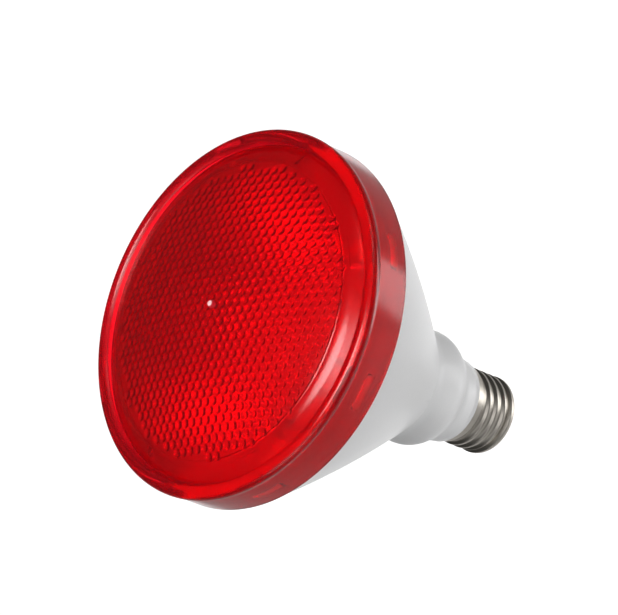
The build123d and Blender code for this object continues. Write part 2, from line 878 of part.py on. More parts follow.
with BuildPart() as neutral_lead:
    neutral_line = Vector(neutral_lead_x, back_lead_y)
    neutral_end = neutral_line.normalized() * (root_radius - shell_wall + neutral_lead_reach)
    neutral_z = lip_z + shell_wall + insulator_flange_height + lead_radius + part_gap
    lead_tube(
        [
            (neutral_line.X, neutral_line.Y, neck_floor_z + neutral_lead_above),
            (neutral_line.X, neutral_line.Y, neutral_z),
            (neutral_end.X, neutral_end.Y, neutral_z),
        ]
    )
neutral_lead.part.label = "neutral_lead"
export_step(neutral_lead.part, "parts/neutral_lead.step")
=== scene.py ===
import math

import bmesh
import bpy
from bpy.props import FloatProperty, FloatVectorProperty, IntProperty, PointerProperty
from mathutils import Matrix, Vector
from mathutils.geometry import delaunay_2d_cdt


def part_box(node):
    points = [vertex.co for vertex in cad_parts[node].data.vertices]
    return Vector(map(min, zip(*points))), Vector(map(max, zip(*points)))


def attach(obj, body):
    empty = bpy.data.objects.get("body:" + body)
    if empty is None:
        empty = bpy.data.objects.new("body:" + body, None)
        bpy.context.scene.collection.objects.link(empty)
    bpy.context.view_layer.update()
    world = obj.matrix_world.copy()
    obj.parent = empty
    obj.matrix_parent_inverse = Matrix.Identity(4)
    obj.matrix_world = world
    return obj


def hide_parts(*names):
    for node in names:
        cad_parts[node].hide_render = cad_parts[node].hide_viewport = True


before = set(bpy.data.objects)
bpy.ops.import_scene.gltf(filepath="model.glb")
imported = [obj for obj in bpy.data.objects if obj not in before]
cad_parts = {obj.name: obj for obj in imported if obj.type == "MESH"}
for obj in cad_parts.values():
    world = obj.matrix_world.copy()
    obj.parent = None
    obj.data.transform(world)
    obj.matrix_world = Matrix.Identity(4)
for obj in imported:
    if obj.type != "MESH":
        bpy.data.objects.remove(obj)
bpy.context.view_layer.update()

bl_info = {
    "name": "LED Reflector Lamp",
    "version": (1, 0, 0),
    "blender": (4, 5, 0),
    "location": "View3D > Sidebar > Lamp",
    "description": "Red PAR38 LED lamp: pillow-cell lens, white housing, E27 screw cap and a stage",
    "category": "Object",
}

MM = 0.001
lens_low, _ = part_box("lens")
shell_low, shell_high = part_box("screw_shell")

# How finely the pieces are divided
LENS_SEGMENTS = 360
DOME_RINGS = 24
STEPS_PER_CELL = 8
GATE_SEGMENTS = 32
SHELL_SEGMENTS = 160
THREAD_ROWS = 110

# Edges that turn more than this stay sharp, in degrees
LENS_CREASE = 38
GATE_CREASE = 50
HOUSING_CREASE = 24
CUP_CREASE = 30
SHELL_CREASE = 50
CAP_CREASE = 30

# Vertices closer than this are one
MERGE_DISTANCE = 1e-6
# A film of air between the lens and its seal and seat, so that light can leave the lens there
AIR_FILM = 0.05 * MM
# Height of the grain that the bump of a finish stands for
GRAIN_HEIGHT = 0.02 * MM

# The floor, and the oval pool of light painted on it as glow, which whitens it behind the lamp
FLOOR_REACH = 3.0
FLOOR_LEVEL = -0.5
FLOOR_SQUARES = 8
POOL_CENTRE = (-0.636, -0.017, FLOOR_LEVEL)
POOL_SQUEEZE = (0.667, 1, 1)
POOL_INNER, POOL_OUTER = 0.24, 0.38
POOL_GLOW, FLOOR_GLOW = 0.9, 0.1

# The camera, fitted to the photograph's outlines: turn about the lamp, focal length in pixels
CAMERA_TURN = 7.5
FOCAL_PIXELS = 5270
PICTURE_WIDTH = 618
SENSOR_MM = 36
CAMERA_CLIP = 20
WORLD_STRENGTH = 0.03


def linear(hex_text):
    """sRGB hex text as a linear RGBA colour."""
    values = [int(hex_text[i : i + 2], 16) / 255 for i in (1, 3, 5)]
    return (*[v / 12.92 if v <= 0.04045 else ((v + 0.055) / 1.055) ** 2.4 for v in values], 1.0)


def length(name, description, millimetres):
    """A property that holds a length."""
    return FloatProperty(
        name=name, description=description, default=millimetres * MM, unit="LENGTH", precision=5
    )


def colour(name, description, hex_text):
    """A property that holds a colour."""
    return FloatVectorProperty(
        name=name,
        description=description,
        default=linear(hex_text),
        subtype="COLOR",
        size=4,
        min=0,
        max=1,
    )


class LensSizes(bpy.types.PropertyGroup):
    """Sizes of the moulded lens."""

    seat: FloatProperty(
        name="Seat",
        description="Height of the skirt's back edge",
        default=lens_low.z,
        unit="LENGTH",
    )
    skirt_radius: length("Skirt Radius", "Outer radius of the skirt", 60.3)
    wall: length("Wall", "Thickness of the moulding", 2.0)
    bead_radius: length("Bead Radius", "Radius of the bead's round section", 2.4)
    bead_circle: length("Bead Circle", "Radius of the circle that the bead's section follows", 58.4)
    bead_land: length("Bead Land", "Width of the flat on the bead's crown", 0.3)
    bead_taper: length("Bead Taper", "Height of the taper from skirt to bead", 1.4)
    bead_height: length("Bead Height", "Height of the bead's centre above the seat", 13.3)
    groove_radius: length("Groove Radius", "Inner radius of the groove beside the bead", 55.0)
    shoulder_rise: length("Shoulder Rise", "Rise of the smooth shoulder from groove to field", 3.3)
    shoulder_bow: length("Shoulder Bow", "Outward bow of the shoulder", 0.45)
    field_radius: length("Field Radius", "Radius of the domed field", 48.8)
    field_step: length("Field Step", "Step from shoulder up to the field", 0.6)
    dome_rise: length("Dome Rise", "Rise of the domed field", 7.0)
    cell_pitch: length("Cell Pitch", "Distance between neighbouring pillow cells", 3.2)
    cell_radius: length("Cell Radius", "Radius of one pillow cell's foot", 1.6)
    cell_height: length("Cell Height", "Height of one pillow cell", 0.48)
    gate_radius: length("Gate Radius", "Foot radius of the moulding gate's stub", 1.5)
    gate_tip: length("Gate Tip", "Tip radius of the moulding gate's stub", 0.8)
    gate_height: length("Gate Height", "Height of the moulding gate's stub", 1.4)
    hook_count: IntProperty(name="Hooks", description="Number of snap hooks", default=8, min=1)
    hook_width: length("Hook Width", "Width of one snap hook", 11.5)
    hook_foot: length("Hook Foot", "Height of the hook's foot above the seat", 3.3)
    hook_height: length("Hook Height", "Height of one snap hook", 3.0)
    hook_land: length("Hook Land", "Height of the flat below the hook's catch", 1.0)
    hook_depth: length("Hook Depth", "Reach of one snap hook", 1.4)
    pocket_depth: length("Pocket Depth", "Depth of the core pocket above each hook", 0.35)
    pocket_margin: length("Pocket Margin", "Distance from the field's edge to a core pocket", 1.2)


class CapSizes(bpy.types.PropertyGroup):
    """Sizes of the screw cap."""

    radius: FloatProperty(
        name="Radius",
        description="Radius of the plain wall",
        default=shell_high.x,
        unit="LENGTH",
    )
    depth: FloatProperty(
        name="Length",
        description="Length of the shell",
        default=-shell_low.z,
        unit="LENGTH",
    )
    wall: length("Wall", "Thickness of the sheet", 0.4)
    plain: length("Plain Length", "Length of the plain wall above the thread", 3.2)
    pitch: length("Pitch", "Distance from one turn of the thread to the next", 3.63)
    thread_depth: length("Thread Depth", "Height of the thread from root to crest", 1.0)
    root_radius: length("Root Radius", "Radius of the thread's root", 12.1)
    thread_mid: length("Thread Middle", "Depth of the thread's middle below the collar", 10.05)
    thread_span: length("Thread Span", "Height of the threaded zone", 12.5)
    thread_fade: length("Thread Fade", "Height over which the thread runs out at each end", 2.0)
    end_round: length("End Round", "Radius of the rounded lower end", 1.9)
    lip_radius: length("Lip Radius", "Radius of the opening in the lower end", 9.6)


class LampFinishes(bpy.types.PropertyGroup):
    """Colours of the lamp's materials."""

    lens: colour("Lens", "Tint of the clear red lens", "#FF1426")
    housing: colour("Housing", "White of the housing", "#DEDEDE")
    cup: colour("Cup", "Tint of the aluminium cup", "#EDECEA")
    cap: colour("Cap", "Tint of the nickel plate", "#E2DCD2")
    insulator: colour("Insulator", "Black of the insulator", "#141416")
    floor: colour("Floor", "Pale floor", "#DCDCDC")


def add_node(tree, kind, inputs=None, **settings):
    """A node with its settings; an input is a value, a socket that feeds it or a list of them."""
    node = tree.nodes.new(kind)
    for name, value in settings.items():
        setattr(node, name, value)
    for key, value in (inputs or {}).items():
        for source in value if isinstance(value, list) else [value]:
            if isinstance(source, bpy.types.NodeSocket):
                tree.links.new(source, node.inputs[key])
            else:
                node.inputs[key].default_value = source
    return node


def new_material(name):
    """An empty node material with its Principled shader and output."""
    material = bpy.data.materials.new(name)
    material.use_nodes = True
    tree = material.node_tree
    tree.nodes.clear()
    shader = add_node(tree, "ShaderNodeBsdfPrincipled")
    add_node(tree, "ShaderNodeOutputMaterial", {"Surface": shader.outputs["BSDF"]})
    return material, tree, shader


def mottled(name, base, shade, grain_mm, roughness, spread, bump, **constants):
    """A moulded, plated or coated surface with a fine grain in colour, gloss and height.

    The real grain of these finishes is hundredths of a millimetre wide and too fine to show,
    so each is drawn 0.2 to 3 mm wide, as coarse as it needs to show.
    """
    material, tree, shader = new_material(name)
    place = add_node(tree, "ShaderNodeTexCoord").outputs["Object"]
    grain = add_node(
        tree,
        "ShaderNodeTexNoise",
        {"Vector": place, "Scale": 1 / (grain_mm * MM), "Detail": 3.0},
    ).outputs[0]
    tint = add_node(tree, "ShaderNodeMix", {0: grain, 6: base, 7: shade}, data_type="RGBA")
    gloss = add_node(
        tree,
        "ShaderNodeMapRange",
        {"Value": grain, "To Min": roughness - spread, "To Max": roughness + spread},
    )
    height = add_node(
        tree,
        "ShaderNodeBump",
        {"Height": grain, "Strength": bump, "Distance": GRAIN_HEIGHT},
    )
    tree.links.new(tint.outputs[2], shader.inputs["Base Color"])
    tree.links.new(gloss.outputs[0], shader.inputs["Roughness"])
    tree.links.new(height.outputs["Normal"], shader.inputs["Normal"])
    for socket, value in constants.items():
        shader.inputs[socket.replace("_", " ")].default_value = value
    return material


def clear_red(name, tint):
    """Injection-moulded polycarbonate, dyed through.

    To the eye it is a deep clear red with a soft gloss. The melt's flow leaves waves about 9 mm
    wide and a hundredth of a millimetre high, which make reflections waver slightly.
    """
    flow_mm, wave_mm, wave_strength = 9, 0.1, 0.12
    material, tree, shader = new_material(name)
    place = add_node(tree, "ShaderNodeTexCoord").outputs["Object"]
    flow = add_node(
        tree,
        "ShaderNodeTexNoise",
        {"Vector": place, "Scale": 1 / (flow_mm * MM), "Detail": 2.0},
    ).outputs[0]
    wave = add_node(
        tree,
        "ShaderNodeBump",
        {"Height": flow, "Strength": wave_strength, "Distance": wave_mm * MM},
    )
    gloss = add_node(
        tree, "ShaderNodeMapRange", {"Value": flow, "To Min": 0.14, "To Max": 0.2}
    )
    tree.links.new(wave.outputs["Normal"], shader.inputs["Normal"])
    tree.links.new(gloss.outputs[0], shader.inputs["Roughness"])
    shader.inputs["Base Color"].default_value = tint
    shader.inputs["Transmission Weight"].default_value = 0.9
    shader.inputs["IOR"].default_value = 1.585
    return material


def glint_tipped(name, tip):
    """Polycarbonate where the moulding gate was snapped off.

    To the eye it is deep red at the foot, with a painted highlight that pales the tip in patches.
    The patches are drawn 0.4 mm wide.
    """
    # The painted highlight starts 0.45 mm below the tip and is full 0.1 mm below it
    patch_mm, glint_start_mm, glint_end_mm = 0.4, 0.45, 0.1
    material, tree, shader = new_material(name)
    place = add_node(tree, "ShaderNodeTexCoord").outputs["Object"]
    height = add_node(tree, "ShaderNodeSeparateXYZ", {0: place}).outputs[2]
    glint_patches = add_node(
        tree, "ShaderNodeTexNoise", {"Vector": place, "Scale": 1 / (patch_mm * MM)}
    ).outputs[0]
    painted_glint = add_node(
        tree,
        "ShaderNodeMapRange",
        {
            "Value": height,
            "From Min": tip - glint_start_mm * MM,
            "From Max": tip - glint_end_mm * MM,
        },
    ).outputs[0]
    patchy = add_node(
        tree, "ShaderNodeMath", {0: painted_glint, 1: glint_patches}, operation="MULTIPLY"
    ).outputs[0]
    glint_share = add_node(tree, "ShaderNodeMapRange", {"Value": patchy, "From Max": 0.6}).outputs[0]
    # Deep red mixed towards the pale pink of the painted highlight
    skin = add_node(
        tree,
        "ShaderNodeMix",
        {0: glint_share, 6: linear("#A80C1A"), 7: linear("#EDC6C5")},
        data_type="RGBA",
    )
    tree.links.new(skin.outputs[2], shader.inputs["Base Color"])
    shader.inputs["Roughness"].default_value = 0.3
    return material


def link_mesh(name, mesh):
    """A new object in the scene that holds the mesh."""
    piece = bpy.data.objects.new(name, mesh)
    bpy.context.scene.collection.objects.link(piece)
    return piece


def finish_mesh(mesh, crease_deg):
    """Merged, outward-facing and smooth but for edges sharper than the crease angle."""
    work = bmesh.new()
    work.from_mesh(mesh)
    bmesh.ops.remove_doubles(work, verts=work.verts, dist=MERGE_DISTANCE)
    bmesh.ops.recalc_face_normals(work, faces=work.faces)
    work.to_mesh(mesh)
    work.free()
    mesh.shade_smooth()
    mesh.set_sharp_from_angle(angle=math.radians(crease_deg))
    mesh.update()


def seat_piece(piece, slot, *nodes):
    """Hangs the piece under the root body and hides the CAD nodes that it stands for; slot is not
    used.
    """
    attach(piece, "root")
    if nodes:
        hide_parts(*nodes)


def paint(piece, material):
    """Gives the piece one material."""
    piece.data.materials.clear()
    piece.data.materials.append(material)


def dress_node(name, node, crease_deg, material, slot):
    """A merged and smoothed copy of a CAD node that takes its place."""
    piece = link_mesh(name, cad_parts[node].data.copy())
    finish_mesh(piece.data, crease_deg)
    paint(piece, material)
    seat_piece(piece, slot, node)


def arc(centre, radius, start_deg, end_deg, steps):
    """Points along a circular arc in the radius and height plane."""
    points = []
    for i in range(steps + 1):
        angle = math.radians(start_deg + (end_deg - start_deg) * i / steps)
        points.append((centre[0] + radius * math.cos(angle), centre[1] + radius * math.sin(angle)))
    return points


def bowed(start, end, bow, steps):
    """Points from start to end along an arc that bows to the left by a height."""
    chord = Vector(end) - Vector(start)
    left = Vector((-chord.y, chord.x)).normalized()
    radius = (chord.length ** 2 / 4 + bow ** 2) / (2 * bow)
    half = math.asin(chord.length / 2 / radius)
    middle = (Vector(start) + Vector(end)) / 2 + left * (bow - radius)
    along = chord.normalized()
    points = []
    for i in range(steps + 1):
        angle = half * (2 * i / steps - 1)
        spot = middle + along * radius * math.sin(angle) + left * radius * math.cos(angle)
        points.append(tuple(spot))
    return points


def rounded(corners, steps=5):
    """A path through (radius, height, fillet) corners, each turned on its fillet."""
    path = []
    for i, (x, y, fillet) in enumerate(corners):
        here = Vector((x, y))
        if fillet == 0 or i in (0, len(corners) - 1):
            path.append((x, y))
            continue
        back = (Vector(corners[i - 1][:2]) - here).normalized()
        ahead = (Vector(corners[i + 1][:2]) - here).normalized()
        half = back.angle(ahead) / 2
        centre = here + (back + ahead).normalized() * fillet / math.sin(half)
        first = here + back * fillet / math.tan(half) - centre
        last = here + ahead * fillet / math.tan(half) - centre
        turn = first.angle_signed(last)
        for k in range(steps + 1):
            spoke = first.copy()
            spoke.rotate(Matrix.Rotation(-turn * k / steps, 2))
            path.append(tuple(centre + spoke))
    return path


def turned(name, profile, segments, closed):
    """A mesh turned about the axis from (radius, height) points.

    A closed profile ends where it starts, and a point on the axis becomes a pole.
    """
    verts, rings, faces = [], [], []
    for radius, height in profile:
        if radius < 1e-9:
            rings.append([len(verts)] * segments)
            verts.append((0, 0, height))
            continue
        rings.append(list(range(len(verts), len(verts) + segments)))
        for k in range(segments):
            angle = 2 * math.pi * k / segments
            verts.append((radius * math.cos(angle), radius * math.sin(angle), height))
    pairs = list(zip(rings, rings[1:]))
    if closed:
        pairs.append((rings[-1], rings[0]))
    for low, high in pairs:
        for k in range(segments):
            n = (k + 1) % segments
            corners = list(dict.fromkeys((low[k], low[n], high[n], high[k])))
            if len(corners) > 2:
                faces.append(corners)
    mesh = bpy.data.meshes.new(name)
    mesh.from_pydata(verts, [], faces)
    return mesh


def run_tree(piece, tree, values):
    """Evaluates a Geometry Nodes tree on the piece and keeps the result as its plain mesh."""
    modifier = piece.modifiers.new(tree.name, "NODES")
    modifier.node_group = tree
    for item in tree.interface.items_tree:
        if item.in_out == "INPUT" and item.name in values:
            modifier[item.identifier] = values[item.name]
    graph = bpy.context.evaluated_depsgraph_get()
    result = bpy.data.meshes.new_from_object(piece.evaluated_get(graph))
    piece.modifiers.clear()
    piece.data = result


def new_tree(name, floats):
    """A Geometry Nodes tree with named float inputs and a material input."""
    tree = bpy.data.node_groups.new(name, "GeometryNodeTree")
    tree.interface.new_socket("Geometry", in_out="INPUT", socket_type="NodeSocketGeometry")
    for label in floats:
        tree.interface.new_socket(label, in_out="INPUT", socket_type="NodeSocketFloat")
    tree.interface.new_socket("Material", in_out="INPUT", socket_type="NodeSocketMaterial")
    tree.interface.new_socket("Geometry", in_out="OUTPUT", socket_type="NodeSocketGeometry")
    return tree, add_node(tree, "NodeGroupInput").outputs


def end_tree(tree, geometry, material):
    """Ends a tree in Realize Instances and Set Material."""
    real = add_node(tree, "GeometryNodeRealizeInstances", {"Geometry": geometry})
    painted = add_node(
        tree, "GeometryNodeSetMaterial", {"Geometry": real.outputs[0], "Material": material}
    )
    add_node(tree, "NodeGroupOutput", {0: painted.outputs[0]})


def pillow_tree(rows, columns):
    """Raises round pillows on a hexagonal lattice over the vertices marked as field."""
    tree, given = new_tree("pillow_cells", ["Pitch", "Cell Radius", "Cell Height", "Reach"])
    place = add_node(tree, "GeometryNodeInputPosition").outputs[0]
    # Two upright lattices, one half a cell on, make the hexagonal one
    width = add_node(
        tree,
        "ShaderNodeMath",
        {0: given["Pitch"], 1: (columns - 1) * math.sqrt(3)},
        operation="MULTIPLY",
    ).outputs[0]
    depth = add_node(
        tree, "ShaderNodeMath", {0: given["Pitch"], 1: rows - 1}, operation="MULTIPLY"
    ).outputs[0]
    upright = add_node(
        tree,
        "GeometryNodeMeshGrid",
        {"Size X": width, "Size Y": depth, "Vertices X": columns, "Vertices Y": rows},
    ).outputs["Mesh"]
    half_cell = add_node(
        tree,
        "ShaderNodeVectorMath",
        {0: (math.sqrt(3) / 2, 0.5, 0), "Scale": given["Pitch"]},
        operation="SCALE",
    ).outputs[0]
    shifted = add_node(
        tree, "GeometryNodeTransform", {"Geometry": upright, "Translation": half_cell}
    ).outputs[0]
    lattice = add_node(
        tree, "GeometryNodeJoinGeometry", {"Geometry": [upright, shifted]}
    ).outputs[0]
    # Only whole cells stay, so those that would cross the field's edge go
    away = add_node(tree, "ShaderNodeVectorMath", {0: place}, operation="LENGTH").outputs["Value"]
    beyond = add_node(
        tree, "ShaderNodeMath", {0: away, 1: given["Reach"]}, operation="GREATER_THAN"
    ).outputs[0]
    centres = add_node(
        tree, "GeometryNodeDeleteGeometry", {"Geometry": lattice, "Selection": beyond}
    ).outputs[0]
    flat = add_node(
        tree, "ShaderNodeVectorMath", {0: place, 1: (1, 1, 0)}, operation="MULTIPLY"
    ).outputs[0]
    near = add_node(
        tree,
        "GeometryNodeProximity",
        {"Geometry": centres, "Sample Position": flat},
        target_element="POINTS",
    ).outputs["Distance"]
    # The height falls with the square of the distance, so each cell is a shallow bowl
    spread = add_node(tree, "ShaderNodeMath", {0: near, 1: 2}, operation="POWER").outputs[0]
    foot = add_node(
        tree, "ShaderNodeMath", {0: given["Cell Radius"], 1: 2}, operation="POWER"
    ).outputs[0]
    lift = add_node(
        tree,
        "ShaderNodeMapRange",
        {"Value": spread, "From Max": foot, "To Min": given["Cell Height"], "To Max": 0},
    ).outputs[0]
    rise = add_node(tree, "ShaderNodeCombineXYZ", {2: lift}).outputs[0]
    mark = add_node(
        tree, "GeometryNodeInputNamedAttribute", {"Name": "field"}, data_type="FLOAT"
    ).outputs[0]
    raised = add_node(
        tree,
        "GeometryNodeSetPosition",
        {"Geometry": given["Geometry"], "Selection": mark, "Offset": rise},
    ).outputs[0]
    end_tree(tree, raised, given["Material"])
    return tree


def snap_tree():
    """Moves the vertices by their snap attribute, in windows spaced evenly round the axis."""
    tree, given = new_tree("snap_hooks", ["Half Step", "Half Width"])
    place = add_node(tree, "GeometryNodeInputPosition").outputs[0]
    x, y, _ = add_node(tree, "ShaderNodeSeparateXYZ", {0: place}).outputs
    turn = add_node(tree, "ShaderNodeMath", {0: y, 1: x}, operation="ARCTAN2").outputs[0]
    off = add_node(
        tree, "ShaderNodeMath", {0: turn, 1: given["Half Step"]}, operation="PINGPONG"
    ).outputs[0]
    flat = add_node(
        tree, "ShaderNodeVectorMath", {0: place, 1: (1, 1, 0)}, operation="MULTIPLY"
    ).outputs[0]
    radius = add_node(tree, "ShaderNodeVectorMath", {0: flat}, operation="LENGTH").outputs["Value"]
    side = add_node(tree, "ShaderNodeMath", {0: off, 1: radius}, operation="MULTIPLY").outputs[0]
    window = add_node(
        tree, "ShaderNodeMath", {0: side, 1: given["Half Width"]}, operation="LESS_THAN"
    ).outputs[0]
    move = add_node(
        tree, "GeometryNodeInputNamedAttribute", {"Name": "snap"}, data_type="FLOAT_VECTOR"
    ).outputs[0]
    moved = add_node(
        tree,
        "GeometryNodeSetPosition",
        {"Geometry": given["Geometry"], "Selection": window, "Offset": move},
    ).outputs[0]
    end_tree(tree, moved, given["Material"])
    return tree


def thread_tree():
    """Rolls a right-handed knuckle thread into a turned shell, fading out at both ends."""
    tree, given = new_tree(
        "rolled_thread", ["Pitch", "Depth", "Middle", "Full Reach", "End Reach"]
    )
    place = add_node(tree, "GeometryNodeInputPosition").outputs[0]
    x, y, z = add_node(tree, "ShaderNodeSeparateXYZ", {0: place}).outputs
    turn = add_node(tree, "ShaderNodeMath", {0: y, 1: x}, operation="ARCTAN2").outputs[0]
    climb = add_node(
        tree,
        "ShaderNodeMapRange",
        {"Value": z, "From Max": given["Pitch"], "To Max": 2 * math.pi},
        clamp=False,
    ).outputs[0]
    phase = add_node(tree, "ShaderNodeMath", {0: climb, 1: turn}, operation="SUBTRACT").outputs[0]
    swing = add_node(tree, "ShaderNodeMath", {0: phase}, operation="COSINE").outputs[0]
    # The smooth step makes fuller crests and roots than a plain wave, as a knuckle thread has
    crest = add_node(
        tree,
        "ShaderNodeMapRange",
        {"Value": swing, "From Min": -1, "From Max": 1, "To Max": given["Depth"]},
        interpolation_type="SMOOTHSTEP",
    ).outputs[0]
    offset = add_node(
        tree, "ShaderNodeMath", {0: z, 1: given["Middle"]}, operation="SUBTRACT"
    ).outputs[0]
    away = add_node(tree, "ShaderNodeMath", {0: offset}, operation="ABSOLUTE").outputs[0]
    fade = add_node(
        tree,
        "ShaderNodeMapRange",
        {
            "Value": away,
            "From Min": given["Full Reach"],
            "From Max": given["End Reach"],
            "To Min": 1,
            "To Max": 0,
        },
        interpolation_type="SMOOTHSTEP",
    ).outputs[0]
    height = add_node(tree, "ShaderNodeMath", {0: crest, 1: fade}, operation="MULTIPLY").outputs[0]
    flat = add_node(
        tree, "ShaderNodeVectorMath", {0: place, 1: (1, 1, 0)}, operation="MULTIPLY"
    ).outputs[0]
    outward = add_node(tree, "ShaderNodeVectorMath", {0: flat}, operation="NORMALIZE").outputs[0]
    push = add_node(
        tree, "ShaderNodeVectorMath", {0: outward, "Scale": height}, operation="SCALE"
    ).outputs[0]
    rolled = add_node(
        tree, "GeometryNodeSetPosition", {"Geometry": given["Geometry"], "Offset": push}
    ).outputs[0]
    end_tree(tree, rolled, given["Material"])
    return tree


def dome_height(sizes, radius, inner=False):
    """Height of the smooth dome at a radius, on its outer or inner face."""
    top = (
        sizes.seat + sizes.bead_height + sizes.shoulder_rise + sizes.field_step + sizes.dome_rise
    )
    rise = sizes.dome_rise
    if inner:
        top -= sizes.wall
        rise += sizes.field_step
    curve = (sizes.field_radius ** 2 + rise ** 2) / (2 * rise)
    return top - curve + math.sqrt(curve ** 2 - radius ** 2)


def field_mesh(sizes):
    """The dome's inner face as a triangle lattice in line with the cells, stitched to the rim."""
    step = sizes.cell_pitch / STEPS_PER_CELL
    row_gap = step * math.sqrt(3) / 2
    # Lattice points nearer the rim than this would make slivers
    margin = 0.55 * step
    edge = sizes.field_radius
    points = []
    for k in range(LENS_SEGMENTS):
        angle = 2 * math.pi * k / LENS_SEGMENTS
        points.append(Vector((math.cos(angle), math.sin(angle))) * edge)
    rows = int(edge / row_gap) + 1
    columns = int(edge / step) + 1
    for i in range(-rows, rows + 1):
        for j in range(-columns, columns + 1):
            spot = Vector((i * row_gap, (j + (i % 2) / 2) * step))
            if spot.length < edge - margin:
                points.append(spot)
    flat, _, faces, _, _, _ = delaunay_2d_cdt(points, [], [], 0, 1e-9)
    mesh = bpy.data.meshes.new("field")
    verts = [(p.x, p.y, dome_height(sizes, min(p.length, edge), inner=True)) for p in flat]
    mesh.from_pydata(verts, [], faces)
    return mesh


def lens_profile(sizes):
    """The lens's section from the dome's outer edge round the skirt to its inner edge.

    Also gives, for the points that the hooks and pockets move, how far in and up each goes.
    """
    seat, wall, field, groove = sizes.seat, sizes.wall, sizes.field_radius, sizes.groove_radius
    bead_z = seat + sizes.bead_height
    ring_z = bead_z + sizes.shoulder_rise
    edge_z = ring_z + sizes.field_step
    shelf_z = bead_z - wall + AIR_FILM
    edge = seat + AIR_FILM
    bead_inner = sizes.bead_circle - sizes.bead_land
    bore = sizes.skirt_radius - wall
    # From the field's edge, eased by a tenth of a millimetre, over the shoulder to the groove
    path = [
        (field, edge_z),
        (field + 0.08 * MM, edge_z - 0.03 * MM),
        (field + 0.1 * MM, ring_z + 0.1 * MM),
    ]
    path += bowed(
        (field + 0.2 * MM, ring_z), (groove, bead_z + 0.12 * MM), sizes.shoulder_bow, 14
    )
    path += [(groove + 0.25 * MM, bead_z), (bead_inner - sizes.bead_radius - 0.15 * MM, bead_z)]
    # The bead, and down the skirt to the hook's foot inside it
    path += arc((bead_inner, bead_z), sizes.bead_radius, 176, 90, 10)
    path += arc((sizes.bead_circle, bead_z), sizes.bead_radius, 90, 0, 10)
    path += rounded(
        [
            (sizes.bead_circle + sizes.bead_radius, bead_z, 0),
            (sizes.skirt_radius, bead_z - sizes.bead_taper, 2.0 * MM),
            (sizes.skirt_radius, edge, 0.35 * MM),
            (bore, edge, 0.3 * MM),
            (bore, seat + sizes.hook_foot, 0),
        ],
        4,
    )[1:]
    # The hook's catch, and the corner under the bead
    catch = seat + sizes.hook_foot + sizes.hook_height
    snaps = {len(path): (sizes.hook_depth, 0), len(path) + 1: (sizes.hook_depth, 0)}
    path += [(bore, catch - sizes.hook_land), (bore, catch - AIR_FILM), (bore, catch)]
    path += rounded([(bore, catch, 0), (bore, shelf_z, 0.4 * MM), (groove, shelf_z, 0)], 4)[1:]
    # The core pocket under the shoulder, and on to the field
    slope = sizes.shoulder_rise / (groove - field)
    pocket = field + sizes.pocket_margin
    snaps.update({len(path): (0, sizes.pocket_depth), len(path) + 1: (0, sizes.pocket_depth)})
    for radius in (groove - AIR_FILM, pocket + AIR_FILM, pocket):
        path.append((radius, shelf_z + (groove - radius) * slope))
    path.append((field, dome_height(sizes, field, inner=True)))
    return path, snaps


def lens_mesh(sizes):
    """The lens's body, dome and inner field in one mesh.

    Its attributes mark the field, for the cells, and how far the hooks and pockets move it.
    """
    path, snaps = lens_profile(sizes)
    dome = []
    for k in range(DOME_RINGS + 1):
        radius = sizes.field_radius * (1 - k / DOME_RINGS)
        dome.append((radius, dome_height(sizes, radius)))
    whole = bmesh.new()
    in_field = whole.verts.layers.float.new("field")
    snap = whole.verts.layers.float_vector.new("snap")
    whole.from_mesh(turned("lens_body", path, LENS_SEGMENTS, closed=False))
    whole.verts.ensure_lookup_table()
    for ring, (inset, lift) in snaps.items():
        for k in range(LENS_SEGMENTS):
            vert = whole.verts[ring * LENS_SEGMENTS + k]
            inward = -vert.co.xy.normalized() * inset
            vert[snap] = (inward.x, inward.y, lift)
    whole.from_mesh(turned("lens_dome", dome, LENS_SEGMENTS, closed=False))
    smooth_count = len(whole.verts)
    whole.from_mesh(field_mesh(sizes))
    whole.verts.ensure_lookup_table()
    for vert in whole.verts[smooth_count:]:
        vert[in_field] = 1
    merged = bpy.data.meshes.new("lens")
    whole.to_mesh(merged)
    whole.free()
    return merged


class LAMP_OT_lens(bpy.types.Operator):
    """Mould the red lens with its pillow cells and snap hooks"""

    bl_idname = "lamp.lens"
    bl_label = "Lens"

    def execute(self, context):
        sizes = context.scene.lamp_lens
        red = clear_red("red polycarbonate", context.scene.lamp_finishes.lens)
        lens = link_mesh("lens_moulding", lens_mesh(sizes))
        run_tree(
            lens,
            snap_tree(),
            {
                "Half Step": math.pi / sizes.hook_count,
                "Half Width": sizes.hook_width / 2,
                "Material": red,
            },
        )
        finish_mesh(lens.data, LENS_CREASE)
        across = math.ceil(sizes.field_radius / sizes.cell_pitch)
        run_tree(
            lens,
            pillow_tree(2 * across + 1, 2 * math.ceil(across / math.sqrt(3)) + 1),
            {
                "Pitch": sizes.cell_pitch,
                "Cell Radius": sizes.cell_radius,
                # The cells stand on the inner face, so they rise downwards
                "Cell Height": -sizes.cell_height,
                "Reach": sizes.field_radius - sizes.cell_radius,
                "Material": red,
            },
        )
        seat_piece(lens, "red_polycarbonate", "lens")

        # Stub of the moulding gate, sunk a little into the dome
        foot = dome_height(sizes, sizes.gate_radius) - 0.3 * MM
        tip = dome_height(sizes, 0) + sizes.gate_height
        stub = rounded(
            [(sizes.gate_radius, foot, 0), (sizes.gate_tip, tip, 0.4 * MM), (0, tip, 0)]
        )
        gate_mesh = turned("gate", [(0, foot), *stub], GATE_SEGMENTS, closed=False)
        finish_mesh(gate_mesh, GATE_CREASE)
        gate = link_mesh("lens_gate", gate_mesh)
        # The stub's pale tip is a painted highlight
        paint(gate, glint_tipped("red polycarbonate with painted glint", tip))
        seat_piece(gate, "red_polycarbonate")
        return {"FINISHED"}


